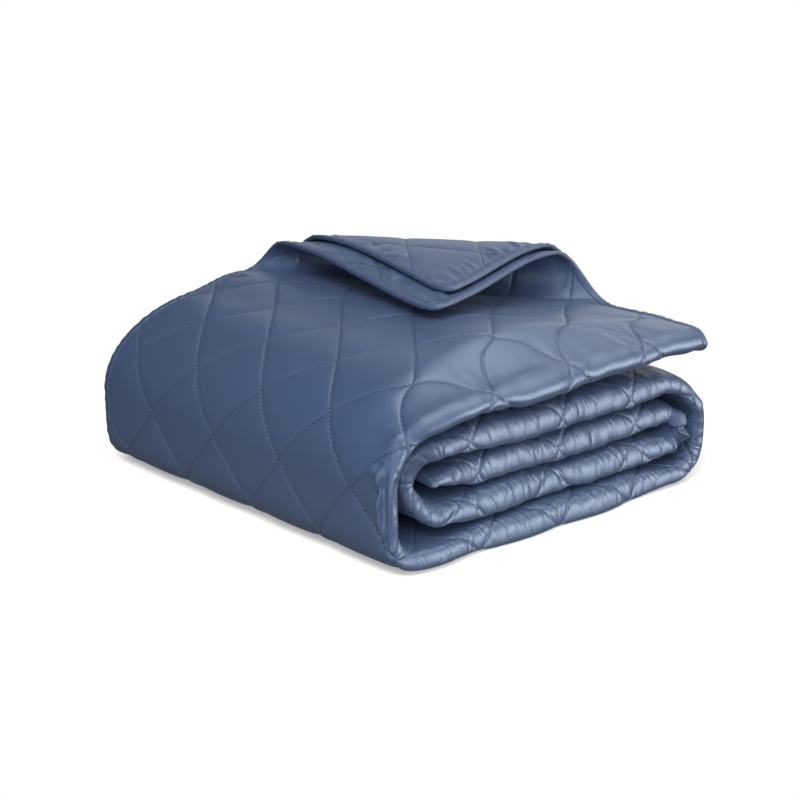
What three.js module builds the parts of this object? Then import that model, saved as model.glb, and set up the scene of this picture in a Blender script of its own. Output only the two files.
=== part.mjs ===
// A satin quilt, folded in four across its width and rolled flat into five layers, with the
// open corner of its outer end turned back over the top.
// Sizes are in millimetres and +Z is up. X runs along the layers and Y along the roll, from its
// folded side at -Y to its open side at +Y. The origin is the middle of the underside.
import * as THREE from "three";

// Driving sizes
const DIAMOND_U = 127; // diagonal of a quilted diamond along the quilt
const DIAMOND_W = 126; // diagonal of a quilted diamond across the quilt
const QUARTER = 546; // width of the roll, a quarter of the quilt's width
const LAYER_HEIGHT = 38; // one layer of the roll, four leaves thick
const LEAF = 8.7; // spacing of the leaves in a flat layer
const TIGHT_LEAF = 5.6; // spacing of the leaves where the roll turns
const EASE = 70; // length over which the leaves tighten before a turn and at the inner end
const PUFF_HALF = 0.44; // half thickness of the padding at its fullest, as a share of the spacing
const SEAM_HALF = 0.12; // half thickness on a line of stitches, as a share of the spacing
const SHOWN_RISE = 2.4; // further rise of the padding where nothing lies on it
const BINDING = 9; // width of the bound edge
const BINDING_HALF = 2.2; // half thickness of the bound edge
const SEAM_GAP = 0.8; // between the binding and the quilted panel
const FAR_FOLD_SETBACK = 16; // the far fold stands back from the open edge by this much
const INNER_EDGE_SETBACK = 15; // the inner open edge stands back from the outer one by this much
const BASE_Z = 15.9; // height of the middle of the lowest layer
const CROWN = 36; // rise of the top layer in its middle
const TIP_RISE = 12; // rise of the top layer towards its end
const CENTRE = [-6, 5]; // moves the middle of the roll over the origin

// The layers in the order they are rolled, from the inner end of the quilt to its outer end.
// level counts layers from the bottom, from and to are the X where a layer starts and ends,
// and setback is how far its folded side stands back from the foremost one. The last columns
// shape the turn that follows: how square its two halves are, and how far it stands back.
const LAYERS = [
  { name: "core", level: 2, from: -181, to: 204, setback: 20, square: [2, 2], turnBack: -14 },
  { name: "under", level: 1, from: 204, to: -166, setback: 16, square: [2, 2], turnBack: 16 },
  { name: "over", level: 3, from: -166, to: 198, setback: 14, square: [2, 3], turnBack: 0 },
  { name: "base", level: 0, from: 198, to: -166, setback: 2, square: [6, 2.2], turnBack: 16 },
  { name: "cover", level: 4, from: -120, to: 246, setback: 0 },
];

// The turned-back corner. The fold starts on the line from foldFar to foldNear. The patch is the
// part of the cover that is drawn out askew, and corner is where its corner lies before folding.
const FLAP = {
  foldFar: [-71, 325],
  foldNear: [260, -162],
  patchFrom: [-71, -162],
  corner: [426, 204],
  farRadius: 16,
  nearRadius: 36,
  farFall: 208,
  nearFall: 258,
  rest: 9,
};

const HALF_QUARTER = QUARTER / 2;
const mix = (a, b, f) => a + (b - a) * f;
const clamp = (value, low, high) => Math.min(high, Math.max(low, value));
function smooth(low, high, value) {
  const f = clamp((value - low) / (high - low), 0, 1);
  return f * f * (3 - 2 * f);
}

// The path of the quilt through the roll: flat runs joined by half turns. Lengths are measured
// on the outer leaf, which is the one that lies smooth.
const levelZ = (level) => BASE_Z + level * LAYER_HEIGHT;
const TURN_MARKS = 60;
// The middle of a turn, f from 0 to 1. Each half is a quarter of a squared-off ellipse.
function turnPoint({ layer, next, way, radius, z }, f) {
  const half = f < 0.5 ? 0 : 1;
  const sine = Math.sin(f * Math.PI);
  const cosine = Math.cos(f * Math.PI);
  const power = layer.square[half];
  const size = (Math.abs(sine) ** power + Math.abs(cosine) ** power) ** (-1 / power);
  const centre = half === 0 ? layer.to : next.from;
  const reach = layer.to + way * radius - centre;
  return [centre + reach * size * sine, z + way * radius * size * cosine];
}
function turnNormal(turn, f) {
  const [x0, z0] = turnPoint(turn, f - 0.002);
  const [x1, z1] = turnPoint(turn, f + 0.002);
  const length = Math.hypot(x1 - x0, z1 - z0);
  return [(z0 - z1) / length, (x1 - x0) / length];
}
function measureTurn(turn) {
  const marks = [0];
  let before = null;
  for (let k = 0; k <= TURN_MARKS; k += 1) {
    const [x, z] = turnPoint(turn, k / TURN_MARKS);
    const [nx, nz] = turnNormal(turn, k / TURN_MARKS);
    const point = [x + 1.5 * TIGHT_LEAF * nx, z + 1.5 * TIGHT_LEAF * nz];
    if (before) marks.push(marks.at(-1) + Math.hypot(point[0] - before[0], point[1] - before[1]));
    before = point;
  }
  return marks;
}
function makePath() {
  const path = [];
  let start = 0;
  LAYERS.forEach((layer, index) => {
    const way = Math.sign(layer.to - layer.from);
    const length = Math.abs(layer.to - layer.from);
    path.push({ kind: "run", start, length, way, layer });
    start += length;
    const next = LAYERS[index + 1];
    if (!next) return;
    const radius = (Math.abs(next.level - layer.level) * LAYER_HEIGHT) / 2;
    const z = (levelZ(layer.level) + levelZ(next.level)) / 2;
    const turn = { kind: "turn", start, way, layer, next, radius, z };
    turn.marks = measureTurn(turn);
    turn.length = turn.marks.at(-1);
    path.push(turn);
    start += turn.length;
  });
  return path;
}
const PATH = makePath();
const COVER = PATH[PATH.length - 1];
const LAST_TURN = PATH[PATH.length - 2];
const LENGTH = COVER.start + COVER.length;
const ROW_ZERO = LAST_TURN.start + 339; // a row where two lines of stitches cross beside the fold
const COLUMN_ZERO = 6; // and how far from the crest of the fold they cross

// Where the middle of the layer is at u, its outward direction and the spacing of its leaves.
function spine(u) {
  let piece = PATH[0];
  for (const candidate of PATH) if (u >= candidate.start) piece = candidate;
  const s = u - piece.start;
  const sway = 2.4 * Math.sin(u * 0.021) + 1.6 * Math.sin(u * 0.047 + 1);
  if (piece.kind === "run") {
    const { layer, way } = piece;
    const after = piece === COVER ? EASE : piece.length - s;
    const loose = smooth(0, EASE, s) * smooth(0, EASE, after);
    return {
      piece,
      x: layer.from + way * s,
      z: levelZ(layer.level) + (piece === COVER ? TIP_RISE * smooth(0, piece.length, s) : 0),
      nx: 0,
      nz: way,
      leaf: mix(TIGHT_LEAF, LEAF, loose),
      setback: layer.setback + sway,
    };
  }
  let mark = 0;
  while (mark < TURN_MARKS - 1 && piece.marks[mark + 1] < s) mark += 1;
  const part = (s - piece.marks[mark]) / (piece.marks[mark + 1] - piece.marks[mark]);
  const f = (mark + part) / TURN_MARKS;
  const [x, z] = turnPoint(piece, f);
  const [nx, nz] = turnNormal(piece, f);
  const back = mix(piece.layer.setback, piece.next.setback, smooth(0, 1, f));
  return {
    piece,
    x,
    z,
    nx,
    nz,
    leaf: TIGHT_LEAF,
    setback: back + piece.layer.turnBack * Math.sin(Math.PI * f) ** 2 + sway,
  };
}

// The folded section of a layer, along w from the inner open edge to the outer one. w is zero on
// the crest of the near fold. The quilt goes back and forth in four leaves.
const FOLD_HALF = 0.75 * Math.PI * LEAF;
const SMALL_FOLD = 0.5 * Math.PI * LEAF;
const NEAR = 1.5 * LEAF;
const FAR = QUARTER - FAR_FOLD_SETBACK;
const W = {};
W.outerEdge = FOLD_HALF + QUARTER - NEAR;
W.secondEnd = -FOLD_HALF - (FAR - NEAR);
W.thirdStart = W.secondEnd - SMALL_FOLD;
W.thirdEnd = W.thirdStart - (FAR - NEAR);
W.fourthStart = W.thirdEnd - SMALL_FOLD;
W.innerEdge = W.fourthStart - (QUARTER - INNER_EDGE_SETBACK - NEAR);

// v is the distance from the near fold, n the height in the layer, and dv, dn the way the face
// side looks. free is one where that side lies on the outside of the layer.
function section(w, leaf) {
  const near = 1.5 * leaf;
  if (w > FOLD_HALF) {
    return { v: near + w - FOLD_HALF, n: near, dv: 0, dn: 1, free: 1, flap: true };
  }
  if (w >= -FOLD_HALF) {
    const a = (w / FOLD_HALF) * (Math.PI / 2);
    const dv = -Math.cos(a);
    const dn = Math.sin(a);
    return { v: near + near * dv, n: near * dn, dv, dn, free: 1, flap: false };
  }
  if (w > W.secondEnd) {
    const f = (w + FOLD_HALF) / (W.secondEnd + FOLD_HALF);
    return { v: mix(near, FAR, f), n: -near, dv: 0, dn: -1, free: 1, flap: false };
  }
  if (w >= W.thirdStart) {
    const f = (W.secondEnd - w) / SMALL_FOLD;
    const dv = Math.sin(f * Math.PI);
    const dn = -Math.cos(f * Math.PI);
    return { v: FAR + 0.5 * leaf * dv, n: leaf * (0.5 * dn - 1), dv, dn, free: 1 - f, flap: false };
  }
  if (w > W.thirdEnd) {
    const f = (w - W.thirdStart) / (W.thirdEnd - W.thirdStart);
    return { v: mix(FAR, near, f), n: -0.5 * leaf, dv: 0, dn: 1, free: 0, flap: false };
  }
  if (w >= W.fourthStart) {
    const f = (W.thirdEnd - w) / SMALL_FOLD;
    const dv = Math.sin(f * Math.PI);
    const dn = Math.cos(f * Math.PI);
    return { v: near - 0.5 * leaf * dv, n: -0.5 * leaf * dn, dv, dn, free: 0, flap: false };
  }
  return { v: near + W.fourthStart - w, n: 0.5 * leaf, dv: 0, dn: -1, free: 0, flap: true };
}

// How full the padding is at a point of the panel: none on the stitches and at the bound edge.
function puff(u, w) {
  const along = (u - ROW_ZERO) / DIAMOND_U;
  const across = (w - COLUMN_ZERO) / DIAMOND_W;
  const a = along + across;
  const b = along - across;
  const pillow = Math.sqrt(Math.abs(Math.sin(Math.PI * a) * Math.sin(Math.PI * b)));
  const edge = Math.min(u, LENGTH - u, W.outerEdge - w, w - W.innerEdge) - BINDING;
  return pillow * smooth(-4, 30, edge);
}

// The rise of the top layer, which swells in its middle and falls to its sides.
function crown(x, v) {
  const along = smooth(-300, 0, x) * (1 - smooth(-70, 250, x));
  return CROWN * along * smooth(14, 84, v);
}

// The corner of the cover drawn out askew, before it is turned back.
function drawOut(x, y) {
  const [x0, y0] = FLAP.patchFrom;
  const a = (x - x0) / (COVER.layer.to - x0);
  const b = (y - y0) / (HALF_QUARTER - y0);
  if (a <= 0 || b <= 0) return [x, y];
  const dx = FLAP.corner[0] - COVER.layer.to;
  const dy = FLAP.corner[1] - HALF_QUARTER;
  const share = a * a * (2 - a) * b * b * (2 - b);
  return [x + share * dx, y + share * dy];
}

// The corner rolled back over the line of its fold. rise is the height over the middle of the
// outer leaf, before and after, and leafRise is that of the middle of the leaf it is on.
function turnBack(x, y, rise, leafRise) {
  const [ex, ey] = FLAP.foldFar;
  const dx = FLAP.foldNear[0] - ex;
  const dy = FLAP.foldNear[1] - ey;
  const length = Math.hypot(dx, dy);
  const mx = -dy / length;
  const my = dx / length;
  const past = (x - ex) * mx + (y - ey) * my;
  if (past <= 0) return [x, y, rise];
  const along = ((x - ex) * my - (y - ey) * mx) / length;
  const radius = mix(FLAP.farRadius, FLAP.nearRadius, clamp(along, 0, 1));
  const own = radius - rise;
  const arc = Math.PI * (radius - leafRise);
  const angle = Math.min(past / (radius - leafRise), Math.PI);
  const reach = own * Math.sin(angle) - Math.max(0, past - arc);
  const fall = mix(FLAP.farFall, FLAP.nearFall, clamp(along, 0, 1));
  const sag = (2 * radius - FLAP.rest) * smooth(0, fall, past - arc);
  const up = radius - own * Math.cos(angle) - sag;
  return [x + (reach - past) * mx, y + (reach - past) * my, up];
}

// A point of the quilt: u along it, w across it and h out of its face side.
function place(u, w, h) {
  const [x, y, z] = lay(u, w, h);
  return [x + CENTRE[0], y + CENTRE[1], z];
}
function lay(u, w, h) {
  const at = spine(u);
  const s = section(w, at.leaf);
  const n = s.n + h * s.dn;
  const v = s.v + h * s.dv;
  const x = at.x + n * at.nx;
  const y = v + at.setback * (1 - smooth(0, 260, v)) - HALF_QUARTER;
  const z = at.z + n * at.nz;
  const share = Math.min(1, 0.6 + 0.2 * (s.n / at.leaf + 1.5));
  if (at.piece !== COVER) {
    const swell = at.piece === LAST_TURN && at.nz > 0 ? share * crown(x, v) : 0;
    return [x, y, Math.max(0, z + swell)];
  }
  if (!s.flap) return [x, y, z + share * crown(x, v)];
  const top = 1.5 * at.leaf;
  const [px, py] = drawOut(x, y);
  const [fx, fy, rise] = turnBack(px, py, n - top, s.n - top);
  return [fx, fy, at.z + top + rise + crown(fx, fy + HALF_QUARTER)];
}

// Rows across the panel lie on the rows of stitches: close together where the roll turns and
// where the corner is turned back, and further apart in the hidden layers. The columns of the
// table are the rows in half a diamond, the points in a diamond on the outer face, whether that
// face is quilted and whether the leaves bend over the crown, so that they need points between.
const INSET = BINDING + SEAM_GAP;
const ROW_KINDS = {
  hidden: { rows: 1, face: 1, quilted: false, bent: false },
  hiddenTurn: { rows: 4, face: 1, quilted: false, bent: false },
  base: { rows: 2, face: 2, quilted: true, bent: false },
  turn: { rows: 4, face: 4, quilted: true, bent: false },
  shoulder: { rows: 2, face: 4, quilted: true, bent: true },
  cover: { rows: 2, face: 4, quilted: true, bent: true },
  flap: { rows: 4, face: 4, quilted: true, bent: true },
};
const BENT_AT = [30, 46, 64, 90, 240]; // distances from the near fold
const FLAP_FROM = 125; // beyond this distance a flap row has eight points in a diamond

function rowKind(u) {
  const { piece, x, nz } = spine(u);
  if (piece === LAST_TURN) return nz > 0 ? "shoulder" : "turn";
  if (piece.kind === "turn") return piece.layer.name === "over" ? "turn" : "hiddenTurn";
  if (piece === COVER) return x > FLAP.patchFrom[0] + 24 ? "flap" : "cover";
  return piece.layer.name === "base" ? "base" : "hidden";
}
function makeRows() {
  const step = DIAMOND_U / 8;
  const rows = [INSET];
  const first = Math.ceil((INSET - ROW_ZERO) / step);
  const last = Math.floor((LENGTH - INSET - ROW_ZERO) / step);
  for (let k = first; k <= last; k += 1) {
    const u = ROW_ZERO + k * step;
    const clear = Math.min(u - INSET, LENGTH - INSET - u) > 4;
    if (clear && k % (4 / ROW_KINDS[rowKind(u)].rows) === 0) rows.push(u);
  }
  rows.push(LENGTH - INSET);
  return rows;
}

// Points between one w and another, on the crossings of the stitches.
function steps(from, to, perDiamond) {
  const list = [];
  const spacing = DIAMOND_W / perDiamond;
  const first = Math.ceil((from - COLUMN_ZERO) / spacing);
  for (let w = COLUMN_ZERO + first * spacing; w < to; w += spacing) {
    if (w - from > 3 && to - w > 3) list.push(w);
  }
  return list;
}
function columns(kind, side) {
  const { face, bent } = ROW_KINDS[kind];
  const flap = kind === "flap";
  const low = W.innerEdge + INSET;
  const high = W.outerEdge - INSET;
  const bends = bent ? BENT_AT : [];
  const nearBends = flap ? bends.filter((v) => v < FLAP_FROM) : bends;
  const outerW = (v) => FOLD_HALF + v - NEAR;
  const innerW = (v) => W.fourthStart - v + NEAR;
  const fold = (from, to) => [from, (from + to) / 2, to];
  const outerFace = steps(FOLD_HALF, flap ? outerW(FLAP_FROM) : high, face);
  return [
    low,
    ...(flap ? steps(low, innerW(FLAP_FROM), 8) : []),
    ...nearBends.map(innerW).reverse(),
    ...fold(W.fourthStart, W.thirdEnd),
    ...bends.map((v) => W.thirdEnd + v - NEAR),
    ...fold(W.thirdStart, W.secondEnd),
    ...bends.map((v) => -outerW(v)).reverse(),
    ...fold(-FOLD_HALF, 0),
    ...fold(0, FOLD_HALF).slice(1),
    ...(side === "face" ? outerFace : nearBends.map(outerW)),
    ...(flap ? steps(outerW(FLAP_FROM) - 4, high, 8) : []),
    high,
  ];
}

// Half thickness of the panel on its face side and on its back. Leaves that lie inside the roll
// are drawn at their mean thickness.
function halfThickness(u, w, kind, side) {
  const leaf = spine(u).leaf;
  const { free } = section(w, leaf);
  const spacing = side === "face" ? mix(leaf, LEAF, free) : leaf;
  const onFold = Math.abs(w) <= FOLD_HALF;
  const detailed = side === "face" ? ROW_KINDS[kind].quilted || onFold : kind === "flap";
  const bare = side === "face" && ROW_KINDS[kind].quilted && (kind !== "flap" || w < NEAR + FLAP_FROM);
  const rise = bare ? SHOWN_RISE * free : 0;
  if (detailed) return mix(spacing * SEAM_HALF, spacing * PUFF_HALF + rise, puff(u, w));
  const edge = Math.min(u, LENGTH - u, W.outerEdge - w, w - W.innerEdge) - BINDING;
  return spacing * mix(0.25, 0.4, smooth(0, 30, edge));
}

// A mesh that grows by points and by strips between two lists of points. A strip is split the
// way that follows the cloth: along the stitches, and along a fold.
function makeMesh() {
  const points = [];
  const faces = [];
  const add = (u, w, h) => {
    const at = place(u, w, h);
    points.push(...at);
    return { u, w, h, at, id: points.length / 3 - 1 };
  };
  const strain = (a, b, height) => {
    const u = (a.u + b.u) / 2;
    const w = (a.w + b.w) / 2;
    const at = place(u, w, height(u, w));
    return Math.hypot(...at.map((value, k) => value - (a.at[k] + b.at[k]) / 2));
  };
  const zip = (left, right, flip, height) => {
    let i = 0;
    let j = 0;
    while (i < left.length - 1 || j < right.length - 1) {
      const a = left[i];
      const b = right[j];
      const nextA = left[i + 1];
      const nextB = right[j + 1];
      let advanceLeft = nextA !== undefined;
      if (nextA && nextB) {
        const ahead = nextA.w - nextB.w;
        const even = Math.abs(ahead) < 1e-6;
        advanceLeft = even && height ? strain(nextA, b, height) < strain(a, nextB, height) : ahead < 0;
      }
      const triangle = advanceLeft ? [a.id, b.id, nextA.id] : [a.id, b.id, nextB.id];
      if (flip) triangle.reverse();
      faces.push(...triangle);
      if (advanceLeft) i += 1;
      else j += 1;
    }
  };
  const build = () => {
    const geometry = new THREE.BufferGeometry();
    geometry.setAttribute("position", new THREE.Float32BufferAttribute(points, 3));
    geometry.setIndex(faces);
    geometry.computeVertexNormals();
    return geometry;
  };
  return { add, zip, faces, build };
}
// The quilted panel: its face and its back, joined along all four sides.
function makePanel(rows) {
  const mesh = makeMesh();
  const grid = rows.map((u) => {
    const kind = rowKind(u);
    const row = (side, sign) =>
      columns(kind, side).map((w) => mesh.add(u, w, sign * halfThickness(u, w, kind, side)));
    return { kind, face: row("face", 1), back: row("back", -1) };
  });
  const first = grid[0];
  const last = grid[grid.length - 1];
  for (let k = 0; k + 1 < grid.length; k += 1) {
    const here = grid[k];
    const next = grid[k + 1];
    const out = (u, w) => halfThickness(u, w, here.kind, "face");
    const under = (u, w) => -halfThickness(u, w, here.kind, "back");
    mesh.zip(here.face, next.face, false, out);
    mesh.zip(here.back, next.back, true, under);
    const low = [here.face[0].id, next.face[0].id, here.back[0].id, next.back[0].id];
    const high = [here.face, next.face, here.back, next.back].map((list) => list.at(-1).id);
    mesh.faces.push(low[0], low[2], low[1], low[1], low[2], low[3]);
    mesh.faces.push(high[0], high[1], high[2], high[2], high[1], high[3]);
  }
  mesh.zip(first.face, first.back, true);
  mesh.zip(last.face, last.back, false);
  return mesh.build();
}

// The binding: one bar that runs round the whole edge. in is the way to the panel.
const BINDING_SECTION = [
  { inset: BINDING, height: BINDING_HALF },
  { inset: 1.4, height: BINDING_HALF - 0.3 },
  { inset: 0, height: 0 },
  { inset: 1.4, height: 0.3 - BINDING_HALF },
  { inset: BINDING, height: -BINDING_HALF },
];
function makeBinding(rows) {
  const inner = rows.slice(1, -1);
  const backward = [...inner].reverse();
  const startRow = columns(rowKind(rows[0]), "face").slice(1, -1);
  const endRow = columns(rowKind(rows.at(-1)), "face").slice(1, -1).reverse();
  const stops = [
    { u: 0, w: W.outerEdge, inU: 1, inW: -1 },
    ...inner.map((u) => ({ u, w: W.outerEdge, inU: 0, inW: -1 })),
    { u: LENGTH, w: W.outerEdge, inU: -1, inW: -1 },
    ...endRow.map((w) => ({ u: LENGTH, w, inU: -1, inW: 0 })),
    { u: LENGTH, w: W.innerEdge, inU: -1, inW: 1 },
    ...backward.map((u) => ({ u, w: W.innerEdge, inU: 0, inW: 1 })),
    { u: 0, w: W.innerEdge, inU: 1, inW: 1 },
    ...startRow.map((w) => ({ u: 0, w, inU: 1, inW: 0 })),
  ];
  const mesh = makeMesh();
  const rings = stops.map(({ u, w, inU, inW }) =>
    BINDING_SECTION.map(({ inset, height }) => mesh.add(u + inU * inset, w + inW * inset, height).id),
  );
  const count = BINDING_SECTION.length;
  rings.forEach((ring, k) => {
    const next = rings[(k + 1) % rings.length];
    for (let i = 0; i < count; i += 1) {
      const j = (i + 1) % count;
      mesh.faces.push(ring[i], next[i], ring[j], ring[j], next[i], next[j]);
    }
  });
  return mesh.build();
}

function named(name, geometry, color) {
  const material = new THREE.MeshStandardMaterial({ color, roughness: 0.45 });
  const mesh = new THREE.Mesh(geometry, material);
  mesh.name = name;
  return mesh;
}

const rows = makeRows();
const quilt = new THREE.Group();
quilt.add(named("panel", makePanel(rows), 0x8796ad));
quilt.add(named("binding", makeBinding(rows), 0x76869f));
export default quilt;
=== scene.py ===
# %% [markdown]
# A satin quilt, folded in four across its width and then rolled flat, with the open corner of
# its outer end turned back over the top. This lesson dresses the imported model: a quilted sheet
# that follows the real folds, the narrow bound edge round it, the thread, and the satin. A cloth
# simulation could fold it, but would push the seams about; here each point of the flat quilt is
# sent to its place in the folded one, so that every line of stitches stays where it was sewn.

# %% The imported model
import math

import bpy
import numpy as np
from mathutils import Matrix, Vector


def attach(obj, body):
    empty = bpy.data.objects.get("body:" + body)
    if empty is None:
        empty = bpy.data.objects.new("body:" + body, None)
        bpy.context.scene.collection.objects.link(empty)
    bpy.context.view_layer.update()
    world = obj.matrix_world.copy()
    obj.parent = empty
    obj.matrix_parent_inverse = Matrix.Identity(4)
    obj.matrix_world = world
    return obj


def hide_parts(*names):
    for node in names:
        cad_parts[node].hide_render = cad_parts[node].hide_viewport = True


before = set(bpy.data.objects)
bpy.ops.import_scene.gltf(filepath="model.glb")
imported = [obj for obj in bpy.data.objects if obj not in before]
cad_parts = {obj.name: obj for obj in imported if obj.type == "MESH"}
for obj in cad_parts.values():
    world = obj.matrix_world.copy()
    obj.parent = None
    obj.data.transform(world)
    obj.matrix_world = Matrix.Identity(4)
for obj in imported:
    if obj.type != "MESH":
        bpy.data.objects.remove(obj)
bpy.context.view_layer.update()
bpy.ops.object.select_all(action="DESELECT")

# %% [markdown]
# The camera stands to the left of the folded side, a little above the quilt, with a long lens.
# It could be set by eye, but here it is worked out from points of the quilt whose places are
# known, so that the folds and the lines of stitches fall where they should in the picture.

# %% The camera
CAMERA_AT = (-1.2134, -1.3332, 0.6020)
CAMERA_YAW = math.radians(47.86)
CAMERA_PITCH = math.radians(15.83)
CAMERA_LENS, SENSOR_WIDTH = 68.4, 36

bpy.ops.object.camera_add(location=CAMERA_AT)
camera = bpy.context.object
camera.name = "camera"
camera.data.lens = CAMERA_LENS
camera.data.sensor_width = SENSOR_WIDTH
look = Vector((
    math.cos(CAMERA_YAW) * math.cos(CAMERA_PITCH),
    math.sin(CAMERA_YAW) * math.cos(CAMERA_PITCH),
    -math.sin(CAMERA_PITCH),
))
camera.rotation_euler = look.to_track_quat("-Z", "Y").to_euler()
bpy.context.scene.camera = camera
print("camera:", camera.name, camera.data.lens, "mm")

# %% [markdown]
# The floor is a plain pale disc that catches the shadow. Lamps alone would leave it grey at its
# rim, so it also glows a little and runs into the white behind it. The satin does not mirror it,
# because that would brighten every fold from below.

# %% The floor
WHITE = (1.0, 1.0, 1.0)
FLOOR_RADIUS, FLOOR_GREY, FLOOR_GLOW = 0.75, 0.6, 0.34

bpy.ops.mesh.primitive_circle_add(vertices=96, radius=FLOOR_RADIUS, fill_type="NGON")
floor = bpy.context.object
floor.name = "floor"
floor_paint = bpy.data.materials.new("pale floor")
floor_paint.use_nodes = True
floor_shader = floor_paint.node_tree.nodes["Principled BSDF"]
floor_shader.inputs["Base Color"].default_value = (FLOOR_GREY, FLOOR_GREY, FLOOR_GREY, 1)
floor_shader.inputs["Roughness"].default_value = 1.0
floor_shader.inputs["Emission Color"].default_value = (*WHITE, 1)
floor_shader.inputs["Emission Strength"].default_value = FLOOR_GLOW
floor.visible_glossy = False
floor.data.materials.append(floor_paint)
print("floor:", FLOOR_RADIUS, "m round the quilt")

# %% [markdown]
# A studio for satin is a white room. Satin shows what stands round it, so the lamps are large.
# The two at the left give the long side its even light; they are not mirrored, so that it stays
# a plain blue. The one in front of the folded side gives each fold its bright crest, the broad
# one above opens up the top, and three weak ones lift the corner, the back and the right. The
# white behind is only seen; it lights nothing, so that the gaps between the layers stay dark.

# %% The lamps
LAMPS = {
    # name: place, aim, width, height, watts, colour, whether the satin mirrors it
    "above": ((0.7, -0.6, 2.3), (0.05, 0.0, 0.1), 2.4, 2.4, 29, (1.0, 0.97, 0.93), True),
    "high left": ((-1.6, -0.6, 2.2), (-0.1, 0.0, 0.2), 1.8, 1.8, 112, (1.0, 0.95, 0.88), False),
    "left": ((-1.2, -1.8, 1.3), (-0.1, -0.1, 0.15), 1.6, 1.6, 62, WHITE, False),
    "front": ((1.5, -2.2, 0.45), (0.0, -0.27, 0.1), 2.4, 0.9, 35, WHITE, True),
    "corner": ((-1.7, -1.6, 0.2), (-0.2, -0.25, 0.08), 1.2, 0.4, 4, WHITE, True),
    "back": ((1.7, 1.5, 1.0), (0.0, 0.0, 0.2), 2.0, 1.2, 6, WHITE, True),
    "right": ((2.3, 0.5, 1.0), (0.1, 0.0, 0.2), 1.6, 1.2, 4.5, WHITE, True),
}
for name, (place_at, aim, width, height, watts, colour, mirrored) in LAMPS.items():
    bpy.ops.object.light_add(type="AREA", location=place_at)
    lamp = bpy.context.object
    lamp.name = name + " lamp"
    lamp.data.shape = "RECTANGLE"
    lamp.data.size = width
    lamp.data.size_y = height
    lamp.data.energy = watts
    lamp.data.color = colour
    lamp.visible_glossy = mirrored
    lamp.visible_camera = False
    toward = Vector(aim) - Vector(place_at)
    lamp.rotation_euler = toward.to_track_quat("-Z", "Y").to_euler()
print("lamps:", ", ".join(LAMPS))

# %% The white behind
world = bpy.data.worlds.new("white room")
bpy.context.scene.world = world
world.use_nodes = True
backdrop = world.node_tree.nodes["Background"]
backdrop.inputs["Color"].default_value = (*WHITE, 1)
backdrop.inputs["Strength"].default_value = 1.0
world.cycles_visibility.diffuse = False
world.cycles_visibility.glossy = False
bpy.context.scene.view_settings.view_transform = "Standard"
print("behind the quilt:", world.name)

# %% [markdown]
# First comes the path of the quilt through its roll: flat layers joined by half turns, seen from
# the folded side. It could be a drawn curve, but a calculated one tells how much cloth it takes
# up. Each half of a turn is a quarter of an ellipse, squared off a little where the cloth lies
# on the floor. Sizes are in millimetres until the mesh is made.

# %% The layers of the roll
LAYER_HEIGHT = 38
BASE_Z = 15.9
LAYER_KEYS = ("name", "level", "start_x", "end_x", "setback", "square", "turn_back")
LAYERS = [
    # name, level, from, to, setback, how square the turn's halves are, how far it stands back
    ("core", 2, -181, 204, 20, (2, 2), -14),
    ("under", 1, 204, -166, 16, (2, 2), 16),
    ("over", 3, -166, 198, 14, (2, 3), 0),
    ("base", 0, 198, -166, 2, (6, 2.2), 16),
    ("cover", 4, -120, 246, 0, None, 0),
]
LAYERS = [dict(zip(LAYER_KEYS, row)) for row in LAYERS]


def level_z(level):
    return BASE_Z + level * LAYER_HEIGHT


print("layers from the inside out:", ", ".join(layer["name"] for layer in LAYERS))

# %% The turns between them
LEAF = 8.7
TIGHT_LEAF = 5.6
OUTER_LEAF = 1.5
TURN_MARKS = 60
NUDGE = 0.002


def turn_point(turn, f):
    half = 0 if f < 0.5 else 1
    sine = math.sin(f * math.pi)
    cosine = math.cos(f * math.pi)
    power = turn["layer"]["square"][half]
    size = (abs(sine) ** power + abs(cosine) ** power) ** (-1 / power)
    centre = turn["layer"]["end_x"] if half == 0 else turn["next"]["start_x"]
    reach = turn["layer"]["end_x"] + turn["way"] * turn["radius"] - centre
    return centre + reach * size * sine, turn["z"] + turn["way"] * turn["radius"] * size * cosine


def turn_normal(turn, f):
    x0, z0 = turn_point(turn, f - NUDGE)
    x1, z1 = turn_point(turn, f + NUDGE)
    length = math.hypot(x1 - x0, z1 - z0)
    return (z0 - z1) / length, (x1 - x0) / length


def measure_turn(turn):
    points = []
    for k in range(TURN_MARKS + 1):
        x, z = turn_point(turn, k / TURN_MARKS)
        nx, nz = turn_normal(turn, k / TURN_MARKS)
        points.append((x + OUTER_LEAF * TIGHT_LEAF * nx, z + OUTER_LEAF * TIGHT_LEAF * nz))
    strides = np.hypot(*np.diff(np.array(points), axis=0).T)
    return np.concatenate([[0], np.cumsum(strides)])


print("leaves are", LEAF, "mm apart, and", TIGHT_LEAF, "mm in a turn")

# %% The path through the roll
def make_path():
    path = []
    start = 0
    for layer, after in zip(LAYERS, LAYERS[1:] + [None]):
        way = 1 if layer["end_x"] > layer["start_x"] else -1
        length = abs(layer["end_x"] - layer["start_x"])
        path.append({"kind": "run", "start": start, "length": length, "way": way, "layer": layer})
        start += length
        if after is None:
            break
        radius = abs(after["level"] - layer["level"]) * LAYER_HEIGHT / 2
        z = (level_z(layer["level"]) + level_z(after["level"])) / 2
        turn = {"kind": "turn", "start": start, "way": way, "layer": layer, "next": after,
                "radius": radius, "z": z}
        turn["marks"] = measure_turn(turn)
        turn["length"] = turn["marks"][-1]
        path.append(turn)
        start += turn["length"]
    return path


PATH = make_path()
STARTS = [piece["start"] for piece in PATH]
FIRST_TURN, LAST_TURN, COVER = PATH[1], PATH[-2], PATH[-1]
LENGTH = COVER["start"] + COVER["length"]
print("quilt is", round(LENGTH), "mm long, in", len(PATH), "runs and turns")

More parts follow.
